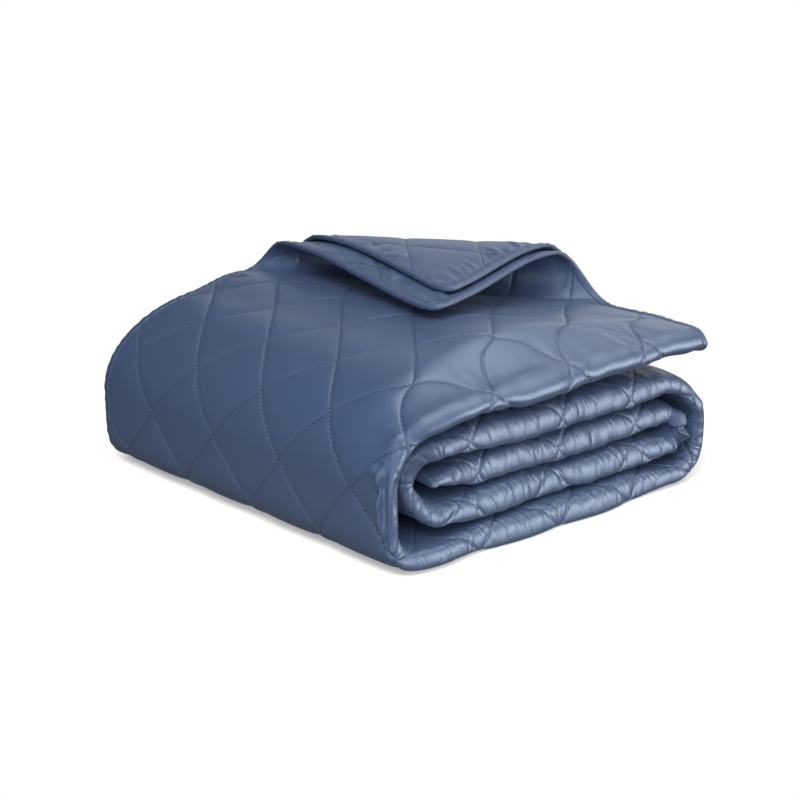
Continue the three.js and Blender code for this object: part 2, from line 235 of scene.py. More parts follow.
# %% [markdown]
# At any place along the path the layer has a middle, a way that its outer side looks and a
# spacing of its four leaves, which lie closer where the roll turns. Nobody rolls a quilt dead
# straight, so each layer also stands back from the folded side by its own amount and sways.

# %% The middle of a layer
RUN, TURN, LAST, TOP = 0, 1, 2, 3
EASE = 70
TIP_RISE = 12
SWAY = ((2.4, 0.021, 0), (1.6, 0.047, 1))


def mix(a, b, f):
    return a + (b - a) * f


def smooth(low, high, value):
    f = np.clip((value - low) / (high - low), 0, 1)
    return f * f * (3 - 2 * f)


def spine(u):
    index = max(0, np.searchsorted(STARTS, u, side="right") - 1)
    piece = PATH[index]
    layer = piece["layer"]
    s = u - piece["start"]
    sway = sum(size * math.sin(u * wave + shift) for size, wave, shift in SWAY)
    if piece["kind"] == "run":
        after = EASE if piece is COVER else piece["length"] - s
        leaf = mix(TIGHT_LEAF, LEAF, smooth(0, EASE, s) * smooth(0, EASE, after))
        lift = TIP_RISE * smooth(0, piece["length"], s) if piece is COVER else 0
        x = layer["start_x"] + piece["way"] * s
        z = level_z(layer["level"]) + lift
        kind = TOP if piece is COVER else RUN
        return x, z, 0, piece["way"], leaf, layer["setback"] + sway, kind
    f = np.interp(s, piece["marks"], np.linspace(0, 1, TURN_MARKS + 1))
    x, z = turn_point(piece, f)
    nx, nz = turn_normal(piece, f)
    back = mix(layer["setback"], piece["next"]["setback"], smooth(0, 1, f))
    back += layer["turn_back"] * math.sin(math.pi * f) ** 2 + sway
    return x, z, nx, nz, TIGHT_LEAF, back, LAST if piece is LAST_TURN else TURN


def along(u):
    marks, back = np.unique(u, return_inverse=True)
    return np.array([spine(mark) for mark in marks])[back].T


print("top layer starts at", [round(float(s), 1) for s in spine(COVER["start"])[:2]])

# %% [markdown]
# Across the layer the quilt goes back and forth in four leaves: outer leaf, round the near fold,
# back to the far fold, and forward again. This is the section that a maker would draw first.
# The width w is zero on the crest of the near fold.

# %% Widths of the leaves and folds
QUARTER = 546
HALF_QUARTER = QUARTER / 2
FAR_GAP, EDGE_GAP = 16, 15
FOLD_HALF = 0.75 * math.pi * LEAF
SMALL_FOLD = 0.5 * math.pi * LEAF
NEAR = OUTER_LEAF * LEAF
FAR = QUARTER - FAR_GAP
OUTER_EDGE = FOLD_HALF + QUARTER - NEAR
SECOND_END = -FOLD_HALF - (FAR - NEAR)
THIRD_START = SECOND_END - SMALL_FOLD
THIRD_END = THIRD_START - (FAR - NEAR)
FOURTH_START = THIRD_END - SMALL_FOLD
INNER_EDGE = FOURTH_START - (QUARTER - EDGE_GAP - NEAR)
print("cut size:", round(LENGTH), "x", round(OUTER_EDGE - INNER_EDGE), "mm")

# %% The folded section
def section(w, leaf):
    near = OUTER_LEAF * leaf
    nothing = np.zeros_like(w)
    crest = w / FOLD_HALF * (math.pi / 2)
    second = (w + FOLD_HALF) / (SECOND_END + FOLD_HALF)
    far = (SECOND_END - w) / SMALL_FOLD
    third = (w - THIRD_START) / (THIRD_END - THIRD_START)
    inner = (THIRD_END - w) / SMALL_FOLD
    far_v, far_n = np.sin(far * math.pi), -np.cos(far * math.pi)
    inner_v, inner_n = np.sin(inner * math.pi), np.cos(inner * math.pi)
    # outer leaf, near fold, second leaf, far fold, third leaf, inner fold, or else fourth leaf
    where = [w > FOLD_HALF, w >= -FOLD_HALF, w > SECOND_END,
             w >= THIRD_START, w > THIRD_END, w >= FOURTH_START]
    v = np.select(where, [near + w - FOLD_HALF, near - near * np.cos(crest),
                          mix(near, FAR, second), FAR + 0.5 * leaf * far_v,
                          mix(FAR, near, third), near - 0.5 * leaf * inner_v],
                  near + FOURTH_START - w)
    n = np.select(where, [near, near * np.sin(crest), -near, leaf * (0.5 * far_n - 1),
                          -0.5 * leaf, -0.5 * leaf * inner_n], 0.5 * leaf)
    dv = np.select(where, [nothing, -np.cos(crest), nothing, far_v, nothing, inner_v], 0)
    dn = np.select(where, [nothing + 1, np.sin(crest), nothing - 1, far_n, nothing + 1, inner_n],
                   -1)
    free = np.select(where, [nothing + 1, nothing + 1, nothing + 1, 1 - far, nothing, nothing], 0)
    return v, n, dv, dn, free, (w > FOLD_HALF) | (w < FOURTH_START)


crest_v = section(np.array([0.0]), np.array([LEAF]))[0][0]
print("the near fold's crest lies at", round(float(crest_v), 3), "mm")

# %% [markdown]
# The top layer swells in its middle, and its open corner is drawn out and rolled back over a
# slanting line. A rotation of the corner would leave a hard kink; a cone-shaped roll turns it
# back without stretching the cloth, and lets its tip come to rest on the top.

# %% The swollen top and the turned-back corner
CROWN = 36
CROWN_LEFT, CROWN_RIGHT, CROWN_NEAR = (-300, 0), (-70, 250), (14, 84)
FOLD_FAR = (-71, 325)
FOLD_NEAR = (260, -162)
PATCH_FROM = (-71, -162)
CORNER = (426, 204)
FAR_RADIUS, NEAR_RADIUS, REST = 16, 36, 9
FAR_FALL, NEAR_FALL = 208, 258


def crown(x, v):
    return CROWN * smooth(*CROWN_LEFT, x) * (1 - smooth(*CROWN_RIGHT, x)) * smooth(*CROWN_NEAR, v)


def draw_out(x, y):
    end = COVER["layer"]["end_x"]
    a = np.maximum((x - PATCH_FROM[0]) / (end - PATCH_FROM[0]), 0)
    b = np.maximum((y - PATCH_FROM[1]) / (HALF_QUARTER - PATCH_FROM[1]), 0)
    share = a * a * (2 - a) * b * b * (2 - b)
    return x + share * (CORNER[0] - end), y + share * (CORNER[1] - HALF_QUARTER)


def past_fold(x, y):
    dx, dy = FOLD_NEAR[0] - FOLD_FAR[0], FOLD_NEAR[1] - FOLD_FAR[1]
    length = math.hypot(dx, dy)
    mx, my = -dy / length, dx / length
    past = (x - FOLD_FAR[0]) * mx + (y - FOLD_FAR[1]) * my
    share = ((x - FOLD_FAR[0]) * my - (y - FOLD_FAR[1]) * mx) / length
    return past, share, mx, my


def turn_back(x, y, rise, leaf_rise):
    past, share, mx, my = past_fold(x, y)
    share = np.clip(share, 0, 1)
    radius = mix(FAR_RADIUS, NEAR_RADIUS, share)
    arc = math.pi * (radius - leaf_rise)
    angle = np.clip(past / (radius - leaf_rise), 0, math.pi)
    reach = (radius - rise) * np.sin(angle) - np.maximum(0, past - arc)
    sag = (2 * radius - REST) * smooth(0, mix(FAR_FALL, NEAR_FALL, share), past - arc)
    up = radius - (radius - rise) * np.cos(angle) - sag
    turned = past > 0
    shift = np.where(turned, reach - past, 0)
    return x + shift * mx, y + shift * my, np.where(turned, up, rise)


print("the corner folds over a line", round(math.dist(FOLD_FAR, FOLD_NEAR)), "mm long")

# %% [markdown]
# The near fold of a layer is no half pipe. The layers on it press its upper side down to a lip,
# and its face is flattened. Nothing lies on the top layer, so its lip stays a thick round roll.
# The lips wave a little up and down, and the sewn corners of the quilt are rounded off.

# %% The lips of the folds and the rounded corners
LIP, COVER_LIP = 62, 95
PRESS, COVER_PRESS = 0.5, 0.15
DROP, COVER_DROP = 0.82, 0.45
FLAT, COVER_FLAT = 0.42, -0.7
LIP_FROM, FLAT_REACH, SIDE_PRESS = 3, 60, 0.65
TIP_ROUND = 24
LIP_WAVES = ((0.8, 0.083, 2, 0.021), (0.5, 0.21, 1.7, 0.05))


def press_lip(v, n, nz, leaf, cover):
    lip = (1 - np.clip((v - LIP_FROM) / (mix(LIP, COVER_LIP, cover) - LIP_FROM), 0, 1)) ** 2
    upper = np.clip(np.sign(n) * nz, 0, 1)
    squeeze = mix(PRESS, COVER_PRESS, cover) * lip
    pressed = squeeze * np.maximum(upper, SIDE_PRESS * (1 - np.abs(nz)))
    drop = mix(DROP, COVER_DROP, cover) * nz * lip
    flat = mix(FLAT, COVER_FLAT, cover)
    near = OUTER_LEAF * leaf
    v = v * (1 - flat * (1 - smooth(near, near + FLAT_REACH, v)))
    return v, n * (1 - pressed + np.sign(n) * drop) - near * drop, lip, squeeze


def lip_wave(u):
    return sum(size * np.sin(u * wave + bend * np.sin(u * drift))
               for size, wave, bend, drift in LIP_WAVES)


def round_tip(u, w):
    at_end = np.clip(1 - (LENGTH - u) / TIP_ROUND, 0, 1)
    at_outer = np.clip(1 - (OUTER_EDGE - w) / TIP_ROUND, 0, 1)
    at_inner = np.clip(1 - (w - INNER_EDGE) / TIP_ROUND, 0, 1)
    side = at_outer - at_inner
    along_in = at_end * (1 - np.sqrt(1 - side ** 2 / 2))
    across_in = side * (1 - np.sqrt(1 - at_end ** 2 / 2))
    return u - TIP_ROUND * along_in, w - TIP_ROUND * across_in


print("lips are", LIP, "mm deep, and", COVER_LIP, "mm on the top layer")

# %% [markdown]
# Now everything comes together. Given a length u, a width w and a height h over the middle of
# the quilt, place() says where that point lies when it is folded. The same function serves the
# cloth, the bound edge and the thread, so they cannot drift apart.

# %% From the flat quilt to the folded one
CENTRE = (-6, 5)
SAG, COVER_SAG = 4, 2
OFF_FLOOR = (16, 60)
THIN_END, THIN_LENGTH = 0.35, 60
SETBACK_REACH = 260
SWELL_FROM, SWELL_STEP = 0.6, 0.2


def place(u, w, h):
    u, w = round_tip(u, w)
    x0, z0, nx, nz, leaf, setback, kind = along(u)
    v, n, dv, dn, _, flap = section(w, leaf)
    cover = np.where(kind == TOP, 1, np.where(kind == LAST, np.clip(nz, 0, 1), 0))
    v, n, lip, squeeze = press_lip(v, n, nz, leaf, cover)
    n = n * mix(THIN_END, 1, smooth(0, THIN_LENGTH, u))
    z0 = z0 - lip * (mix(SAG, COVER_SAG, cover) + lip_wave(u)) * smooth(*OFF_FLOOR, z0)
    height = n + h * dn
    reach = v + h * dv
    x = x0 + height * nx
    y = reach + setback * (1 - smooth(0, SETBACK_REACH, reach)) - HALF_QUARTER
    z = z0 + height * nz
    swells = (kind == TOP) | ((kind == LAST) & (nz > 0))
    share = np.minimum(1, SWELL_FROM + SWELL_STEP * (n / leaf + OUTER_LEAF))
    z = np.maximum(0, z + np.where(swells, share * crown(x, reach), 0))
    top = OUTER_LEAF * leaf * (1 - squeeze)
    fx, fy, rise = turn_back(*draw_out(x, y), height - top, n - top)
    corner = (kind == TOP) & flap
    x = np.where(corner, fx, x)
    y = np.where(corner, fy, y)
    z = np.where(corner, z0 + top + rise + crown(fx, fy + HALF_QUARTER), z)
    return np.stack([x + CENTRE[0], y + CENTRE[1], z], axis=-1)


tip = place(np.array([LENGTH]), np.array([OUTER_EDGE]), np.array([0.0]))[0]
print("the corner lies at", tip.round().tolist())

# %% [markdown]
# Quilting sews the two faces together along slanting lines. On the flat quilt they make one
# regular lattice of diamonds. The leaves of a real quilt slide on each other as it is rolled, so
# the lattice slips a little along the length and across it, from layer to layer.

# %% The lattice of seams
DIAMOND_U = 127
DIAMOND_W = 126
LINE_SPACING = 1 / math.hypot(1 / DIAMOND_U, 1 / DIAMOND_W)
CROSSING = 339
ROW_ZERO = LAST_TURN["start"] + CROSSING
COLUMN_ZERO = 6
CELLS = 32
LEAF_SHIFT = 13 / CELLS
SLIP_AT = [0, 200, 430, 670, 900, 1160, 1450, 1770, 1930]
SLIP_ALONG = [0.3, 0.33, 0.2, 0.05, -0.1, -0.3, -0.2, -0.05, 0]
UNDER_SLIP, COVER_SLIP = 9 / CELLS, 3 / CELLS
UNDER_FROM, UNDER_TO, COVER_FROM = (430, 520), (810, 930), (2170, 2330)


def rows_along(u):
    return (u - ROW_ZERO) / DIAMOND_U + np.interp(u, SLIP_AT, SLIP_ALONG)


def slip_across(u):
    under = smooth(*UNDER_FROM, u) * (1 - smooth(*UNDER_TO, u))
    return UNDER_SLIP * under + COVER_SLIP * smooth(*COVER_FROM, u)


def columns_across(u, w):
    leaf_shift = LEAF_SHIFT * smooth(0, 1, (THIRD_START - w) / (THIRD_START - THIRD_END))
    return (w - COLUMN_ZERO) / DIAMOND_W - slip_across(u) + leaf_shift


def line_distances(u, w):
    length, width = rows_along(u), columns_across(u, w)
    counts = (length + width, length - width)
    return [np.abs(count - np.round(count)) * LINE_SPACING for count in counts]


print("lines of stitches are", round(LINE_SPACING, 1), "mm apart")

# %% [markdown]
# The filling lifts the cloth between the lines. It could be a bump in the material, but its
# shadow shows at the edges of the folds, so it is in the mesh: steep beside a line of stitches,
# and nearly flat in the middle of a diamond. Beside the bound edge it runs out.

# %% The quilted padding
BINDING = 9
FLANK, DOME, FLANK_WIDTH = 0.78, 0.22, 5
EDGE_FADE = (-4, 30)


def pillow(distance):
    dome = np.sin(distance / LINE_SPACING * math.pi)
    return FLANK * (1 - np.exp(-distance / FLANK_WIDTH)) + DOME * dome


def edge_distance(u, w):
    from_ends = np.minimum(u, LENGTH - u)
    from_sides = np.minimum(OUTER_EDGE - w, w - INNER_EDGE)
    return np.minimum(from_ends, from_sides) - BINDING


def quilting(u, w):
    one, other = line_distances(u, w)
    return pillow(one) * pillow(other)


def puff(u, w):
    return quilting(u, w) * smooth(*EDGE_FADE, edge_distance(u, w))


diamond_middle = np.array([ROW_ZERO + DIAMOND_U / 2]), np.array([0.0])
print("a diamond is full to", round(float(puff(*diamond_middle)[0]), 2))

# %% [markdown]
# Where the cloth is folded it has too much length on one side, and it gathers into small creases
# across the fold. They could be sculpted; here each crease is a soft trough or ridge along a
# short line on the flat quilt, with its own width and depth. Every fold of the near side is full
# of them, deeper beside a seam, and the outer turn and the top layer are calm.

# %% Creases across the near folds
CREASE_FAR, CREASE_NEAR = (26, 46), (4, 20)
CREASE_WIDTH, CREASE_DEPTH, CREASE_STEP = (2.4, 6.0), (0.3, 1.1), (7, 18)
PLAIN_CREASE, SEAM_CREASE, SEAM_REACH = 0.5, 0.8, 16
COVER_CALM, LAST_CALM = 0.15, 0.35
LEAN, LEAN_WAVE, LEAN_SPREAD = 0.7, 0.019, 0.35
UPRIGHT = 0.3
FIRST_CREASE = 4

creases = []
random = np.random.default_rng(7)
for piece in PATH:
    u = piece["start"] + FIRST_CREASE
    calm = COVER_CALM if piece is COVER else LAST_CALM if piece is LAST_TURN else 1
    while u < piece["start"] + piece["length"]:
        from_seam = min(line_distances(u, 0.0))
        strength = calm * (PLAIN_CREASE + SEAM_CREASE * math.exp(-(from_seam / SEAM_REACH) ** 2))
        facing = spine(u)[3]
        upper = facing if abs(facing) > UPRIGHT else random.choice([-1, 1])
        first = upper * random.uniform(*CREASE_FAR)
        last = upper * random.uniform(*CREASE_NEAR)
        lean = random.normal(LEAN * math.sin(u * LEAN_WAVE + 1), LEAN_SPREAD)
        width = random.uniform(*CREASE_WIDTH)
        depth = strength * random.uniform(*CREASE_DEPTH) * random.choice([-1, 1])
        creases.append((u, first, u + lean * abs(first - last), last, width, depth))
        u += random.uniform(*CREASE_STEP)
print(len(creases), "creases across the near folds")

# %% [markdown]
# Two turns of the roll gather the cloth more than that: the outer turn at the left, whose cloth is
# pinched into long bent folds, and the inner one at the right. These large creases are listed one by
# one, one row each.

# %% Creases of the two turns
GATHERS = [
    # from along the left turn and across, to along and across, width, depth
    (108, 27, 196, 24, 4.5, 5), (112, 19, 190, 16, 4.2, -8), (118, 10, 186, 8, 4.2, 6),
    (130, 1, 180, 0, 4, -5), (150, 34, 168, 18, 4, -6), (176, 33, 190, 20, 4, -5),
    (168, 40, 186, 30, 5, 4), (96, 34, 112, 12, 4.5, -5), (84, 20, 100, 4, 4.5, 4),
    (200, 30, 226, 8, 5, 4), (212, 14, 236, 2, 5, -4),
]
INNER_GATHERS = [
    # the same at the inner turn of the right side
    (12, -24, 20, 34, 4, -5), (28, -28, 26, 30, 3.8, 4), (40, -22, 43, 34, 3.6, -6),
    (53, -26, 55, 30, 3.6, 4.5), (65, -20, 67, 34, 3.8, -5), (77, -26, 75, 28, 4, 3.5),
]
for start, rows in ((LAST_TURN["start"], GATHERS), (FIRST_TURN["start"], INNER_GATHERS)):
    for s0, w0, s1, w1, width, depth in rows:
        creases.append((start + s0, w0, start + s1, w1, width, depth))
print(len(GATHERS) + len(INNER_GATHERS), "creases at the turns")

# %% [markdown]
# The seam of the binding draws the cloth in, so short puckers run in from the bound edge of the
# turned-back corner. Close to the tip they are kept short, so that they do not dent it.

# %% Puckers beside the bound edge
RIM_FROM, RIM_TO, RIM_INSET = 16, 330, 10
RIM_DEEP, RIM_SHARE, RIM_SLANT = (12, 34), 0.5, 0.3
RIM_WIDTH, RIM_DEPTH, RIM_STEP = (2.6, 5), (0.8, 2.4), (6, 15)


def add_rim_creases(edge_w, sign, on_end):
    from_tip = RIM_FROM
    while from_tip < RIM_TO:
        deep = min(random.uniform(*RIM_DEEP), RIM_SHARE * from_tip)
        slant = random.normal(0, RIM_SLANT) * deep
        width = random.uniform(*RIM_WIDTH)
        depth = random.uniform(*RIM_DEPTH) * random.choice([-1, 1])
        if on_end:
            at, across = LENGTH - RIM_INSET, edge_w + sign * from_tip
            creases.append((at, across, at - deep, across + slant, width, depth))
        else:
            at = LENGTH - from_tip
            near, far = edge_w + sign * RIM_INSET, edge_w + sign * (RIM_INSET + deep)
            creases.append((at, near, at + slant, far, width, depth))
        from_tip += random.uniform(*RIM_STEP)


for edge_w, sign in ((OUTER_EDGE, -1), (INNER_EDGE, 1)):
    for on_end in (False, True):
        add_rim_creases(edge_w, sign, on_end)
print(len(creases), "creases in all")

# %% The shape of a crease
CREASE_REACH = 3
TAPER = (0.06, 0.94)
GENTLE, STEEP = 1.5, 0.65


def crease_rise(u, w):
    rise = np.zeros_like(u)
    order = np.argsort(u, kind="stable")
    ranked = u[order]
    for u0, w0, u1, w1, width, depth in creases:
        reach = CREASE_REACH * width
        low, high = np.searchsorted(ranked, [min(u0, u1) - reach, max(u0, u1) + reach])
        near = order[low:high]
        near = near[(w[near] > min(w0, w1) - reach) & (w[near] < max(w0, w1) + reach)]
        length = math.hypot(u1 - u0, w1 - w0)
        du, dw = (u1 - u0) / length, (w1 - w0) / length
        down = (u[near] - u0) * du + (w[near] - w0) * dw
        across = (u[near] - u0) * dw - (w[near] - w0) * du
        past = np.maximum(0, np.maximum(-down, down - length))
        taper = np.sin(np.clip(down / length, *TAPER) * math.pi)
        side = np.where(across > 0, GENTLE, STEEP) * width
        rise[near] += depth * taper * np.exp(-(across / side) ** 2 - (past / width) ** 2)
    return rise


deepest = max(abs(crease[5]) for crease in creases)
print("the deepest crease is", round(deepest, 1), "mm")

# %% [markdown]
# The sheet itself is a mesh with a face and a back. A plain grid would do, but a line of stitches
# would cut its cells anyhow. Here rows run across the quilt and columns along it, both on the
# lattice of the seams, so that a seam runs from corner to corner of the cells and stays crisp.
# Only what shows is fine; the hidden leaves are coarse.

# %% Rows and columns of the sheet
INSET = BINDING - 1
LOW, HIGH = INNER_EDGE + INSET, OUTER_EDGE - INSET
ROW_SAMPLES = 4000
COLUMN_STEP = DIAMOND_W / CELLS
COLUMN_NUMBERS = np.arange(math.ceil((LOW - COLUMN_ZERO) / COLUMN_STEP),
                           math.floor((HIGH - COLUMN_ZERO) / COLUMN_STEP) + 1)
COLUMNS = COLUMN_ZERO + COLUMN_NUMBERS * COLUMN_STEP
KEPT = np.array([LOW, FOURTH_START, (FOURTH_START + THIRD_END) / 2, THIRD_END, THIRD_START,
                 (THIRD_START + SECOND_END) / 2, SECOND_END, -FOLD_HALF, FOLD_HALF, HIGH])


def make_rows():
    places = np.linspace(INSET, LENGTH - INSET, ROW_SAMPLES)
    counts = rows_along(places) * CELLS
    numbers = np.arange(math.ceil(counts[0]), math.floor(counts[-1]) + 1)
    rows = np.interp(numbers, counts, places)
    rows = rows[(rows > INSET + 1) & (rows < LENGTH - INSET - 1)]
    return np.concatenate([[INSET], rows, [LENGTH - INSET]])


ROWS = make_rows()
halves = (ROWS[:-1] + ROWS[1:]) / 2
print(len(ROWS), "rows and", len(COLUMNS), "columns")

# %% Which columns a row keeps
FACE, BACK = 1, -1
BAND = 42
UNDER_FLAP, FOLD_MARGIN, FLAP_RIM = 70, 10, 75
CLOSEST = 1.2


def every(step):
    return COLUMN_NUMBERS % step == 0


def flat_past(u, w):
    x, _, _, _, leaf, _, _ = spine(u)
    v = section(w, np.full_like(w, leaf))[0]
    return past_fold(*draw_out(np.full_like(w, x), v - HALF_QUARTER))[0]


def face_columns(u, w, kind, name):
    keep = (np.abs(w) < BAND) | every(CELLS)
    if name == "over" and kind == TURN:
        keep |= (w > 0) & every(2)
    if name == "base":
        keep |= (w > 0) & every(8)
    if kind == LAST:
        keep |= w > 0
    if kind == TOP:
        past = flat_past(u, w)
        keep |= (w > 0) & ((past < UNDER_FLAP) | every(4))
        keep |= (w < FOURTH_START) & (past > -FOLD_MARGIN)
        keep |= every(8)
    return keep


def back_columns(u, w, kind):
    keep = (np.abs(w) < FOLD_HALF) & every(4) | every(2 * CELLS)
    if kind == TOP:
        past = flat_past(u, w)
        rim = (w > HIGH - FLAP_RIM) | (u > LENGTH - FLAP_RIM)
        keep |= (w > 0) & (past > 0) & (rim | every(4))
        keep |= (w < FOURTH_START) & (past > 0) & every(4)
        keep |= every(8)
    if kind == LAST:
        keep |= every(CELLS)
    return keep


def columns_of(u, side):
    kind = spine(u)[6]
    name = next(p for p in reversed(PATH) if u >= p["start"])["layer"]["name"]
    if side == FACE:
        chosen = COLUMNS[face_columns(u, COLUMNS, kind, name)]
    else:
        chosen = COLUMNS[back_columns(u, COLUMNS, kind)]
    far = np.min(np.abs(chosen[:, None] - KEPT[None, :]), axis=1) > CLOSEST
    return np.sort(np.concatenate([KEPT, chosen[far]]))


faces_w = [columns_of(u, FACE) for u in ROWS]
backs_w = [columns_of(u, BACK) for u in ROWS]
band_w = faces_w[0][np.abs(faces_w[0]) < BAND]
print("face and back:", sum(map(len, faces_w)), "and", sum(map(len, backs_w)), "points")

# %% [markdown]
# Each point is moved out of the middle of the quilt by the half thickness of the padding and by
# the creases. A seam holds the cloth, so the creases fade on it. Near the fold there is one more
# row of points between each two rows, because the creases are finer than the lattice there.

# %% The points of the sheet
PUFF_HALF, SEAM_HALF = 0.44, 0.22
SHOWN_RISE, COVERED = 0.4, 0.5
BARE_RIM = 340
OFF_SEAM, OFF_EDGE = (0, 0.5), (-2, 5)


def half_thickness(u, w, side):
    _, _, _, _, leaf, _, kind = along(u)
    free = section(w, leaf)[4]
    spacing = np.where(side == FACE, mix(leaf, LEAF, free), leaf)
    shown = np.where(side == FACE, free, 0)
    full = spacing * PUFF_HALF + SHOWN_RISE * shown * np.where(kind == RUN, COVERED, 1)
    half = mix(spacing * SEAM_HALF, full, puff(u, w))
    from_sides = np.minimum(OUTER_EDGE - w, w - INNER_EDGE)
    bare = np.maximum(shown, (kind == TOP) & (from_sides < BARE_RIM))
    held = smooth(*OFF_SEAM, quilting(u, w)) * smooth(*OFF_EDGE, edge_distance(u, w))
    return half + crease_rise(u, w) * held * bare


def flat_points(rows, lists):
    return np.repeat(rows, [len(ws) for ws in lists]), np.concatenate(lists)


face_u, face_w = flat_points(ROWS, faces_w)
back_u, back_w = flat_points(ROWS, backs_w)
half_u, half_w = flat_points(halves, [band_w] * len(halves))
sheet_u = np.concatenate([face_u, half_u, back_u])
sheet_w = np.concatenate([face_w, half_w, back_w])
sheet_side = np.repeat([FACE, FACE, BACK], [len(face_u), len(half_u), len(back_u)])
sheet_half = half_thickness(sheet_u, sheet_w, sheet_side)
sheet_points = place(sheet_u, sheet_w, sheet_side * sheet_half)
print("the padding is up to", round(float(2 * sheet_half.max()), 1), "mm thick")

# %% [markdown]
# Neighbouring rows are joined in triangles, as a zip closes, and each cell is split along the
# seam that crosses it. A grid operator would need the same number of points in every row. The
# last strips close the sheet between its face and its back, under the binding.

# %% Joining two rows
SAME_PLACE, HAIR = 1e-6, 0.01


def zip_rows(left, right, left_w, right_w, u):
    triangles = []
    i = j = 0
    while i < len(left) - 1 or j < len(right) - 1:
        go_left = i < len(left) - 1
        if go_left and j < len(right) - 1:
            ahead = left_w[i + 1] - right_w[j + 1]
            if abs(ahead) < SAME_PLACE:
                one, other = line_distances(u, (left_w[i] + left_w[i + 1]) / 2)
                go_left = one < other
            else:
                go_left = ahead < 0
        if go_left:
            triangles.append((left[i], right[j], left[i + 1]))
            i += 1
        else:
            triangles.append((left[i], right[j], right[j + 1]))
            j += 1
    return triangles


def row_numbers(lists, start):
    numbers = []
    for ws in lists:
        numbers.append(list(range(start, start + len(ws))))
        start += len(ws)
    return numbers


def split_row(ids, ws):
    low, high = np.searchsorted(ws, [band_w[0] - HAIR, band_w[-1] + HAIR])
    cuts = (slice(low + 1), slice(low, high), slice(high - 1, None))
    return [(ids[cut], ws[cut]) for cut in cuts]


face_ids = row_numbers(faces_w, 0)
half_ids = row_numbers([band_w] * len(halves), len(face_u))
back_ids = row_numbers(backs_w, len(face_u) + len(half_u))
print("points:", back_ids[-1][-1] + 1)

# %% The triangles of the sheet
triangles = []
for k, middle in enumerate(halves):
    here = split_row(face_ids[k], faces_w[k])
    there = split_row(face_ids[k + 1], faces_w[k + 1])
    for part, end in ((0, -1), (2, 0)):
        (ids, ws), (next_ids, next_ws) = here[part], there[part]
        strip = zip_rows(ids, next_ids, ws, next_ws, middle)
        beside = strip.pop(end)
        for corner in (ids[end], next_ids[end]):
            strip.append(tuple(half_ids[k][-1 - end] if i == corner else i for i in beside))
        triangles += strip
    (ids, ws), (next_ids, next_ws) = here[1], there[1]
    triangles += zip_rows(ids, half_ids[k], ws, band_w, (ROWS[k] + middle) / 2)
    triangles += zip_rows(half_ids[k], next_ids, band_w, next_ws, (ROWS[k + 1] + middle) / 2)
    under = zip_rows(back_ids[k], back_ids[k + 1], backs_w[k], backs_w[k + 1], middle)
    triangles += [t[::-1] for t in under]
    for end, turn in ((0, 1), (-1, -1)):
        a, b = face_ids[k][end], face_ids[k + 1][end]
        c, d = back_ids[k][end], back_ids[k + 1][end]
        triangles += [t[::turn] for t in ((a, c, b), (b, c, d))]
first_end = zip_rows(face_ids[0], back_ids[0], faces_w[0], backs_w[0], ROWS[0])
triangles += [t[::-1] for t in first_end]
triangles += zip_rows(face_ids[-1], back_ids[-1], faces_w[-1], backs_w[-1], ROWS[-1])
print("triangles:", len(triangles))

# %% The quilted sheet
MILLIMETRE, METRE = 0.001, 1000


def make_piece(name, points, faces):
    mesh = bpy.data.meshes.new(name)
    mesh.from_pydata((points * MILLIMETRE).tolist(), [], faces)
    mesh.validate()
    piece = bpy.data.objects.new(name, mesh)
    bpy.context.scene.collection.objects.link(piece)
    mesh.polygons.foreach_set("use_smooth", np.ones(len(mesh.polygons), dtype=bool))
    return piece


def add_map(piece, name, across, up):
    layer = piece.data.uv_layers.new(name=name)
    corners = np.zeros(len(piece.data.loops), dtype=np.int32)
    piece.data.loops.foreach_get("vertex_index", corners)
    flat = np.stack([across[corners], up[corners]], axis=-1)
    layer.data.foreach_set("uv", flat.astype(np.float32).ravel())


quilt = make_piece("quilt", sheet_points, triangles)
add_map(quilt, "cloth", sheet_u / METRE, sheet_w / METRE)
add_map(quilt, "lattice", rows_along(sheet_u), columns_across(sheet_u, sheet_w))
print("quilt:", len(quilt.data.vertices), "points and", len(quilt.data.polygons), "triangles")

# %% [markdown]
# A narrow strip of the same satin is folded over the edge and sewn down. A curve with a bevel
# could make it, but would not follow the folds. Here it is a bar that runs once round the quilt,
# with a rounded outer side and a raised inner rim, puckered a little by its seam.

# %% The bound edge
BINDING_SECTION = [
    # distance in from the edge, height over the middle of the quilt
    (BINDING + 1.2, 1.5), (BINDING, 3.1), (BINDING - 2, 2.2), (4, 3.1), (1.6, 2.7), (0.3, 1.3),
    (0, 0), (0.3, -1.3), (1.6, -2.7), (4, -3.1), (BINDING - 2, -2.2), (BINDING, -3.1),
    (BINDING + 1.2, -1.5),
]
PUCKER = 0.22
end_columns = faces_w[-1][1:-1][::-1]
first_columns = faces_w[0][1:-1]
inner_rows = ROWS[1:-1]
stops = [(0, OUTER_EDGE, 1, -1)]
stops += [(u, OUTER_EDGE, 0, -1) for u in inner_rows]
stops += [(LENGTH, OUTER_EDGE, -1, -1)]
stops += [(LENGTH, w, -1, 0) for w in end_columns]
stops += [(LENGTH, INNER_EDGE, -1, 1)]
stops += [(u, INNER_EDGE, 0, 1) for u in inner_rows[::-1]]
stops += [(0, INNER_EDGE, 1, 1)]
stops += [(0, w, 1, 0) for w in first_columns]
stops = np.array(stops)
bar = np.array(BINDING_SECTION)
bar_u = stops[:, 0, None] + stops[:, 2, None] * bar[None, :, 0]
bar_w = stops[:, 1, None] + stops[:, 3, None] * bar[None, :, 0]
run = np.arange(len(stops))
pucker = 1 + PUCKER * np.sin(run * 1.9 + 1.3 * np.sin(run * 0.31)) * np.sin(run * 0.23)
bar_h = pucker[:, None] * bar[None, :, 1]
bar_points = place(bar_u.ravel(), bar_w.ravel(), bar_h.ravel())
count = len(bar)
bar_faces = []
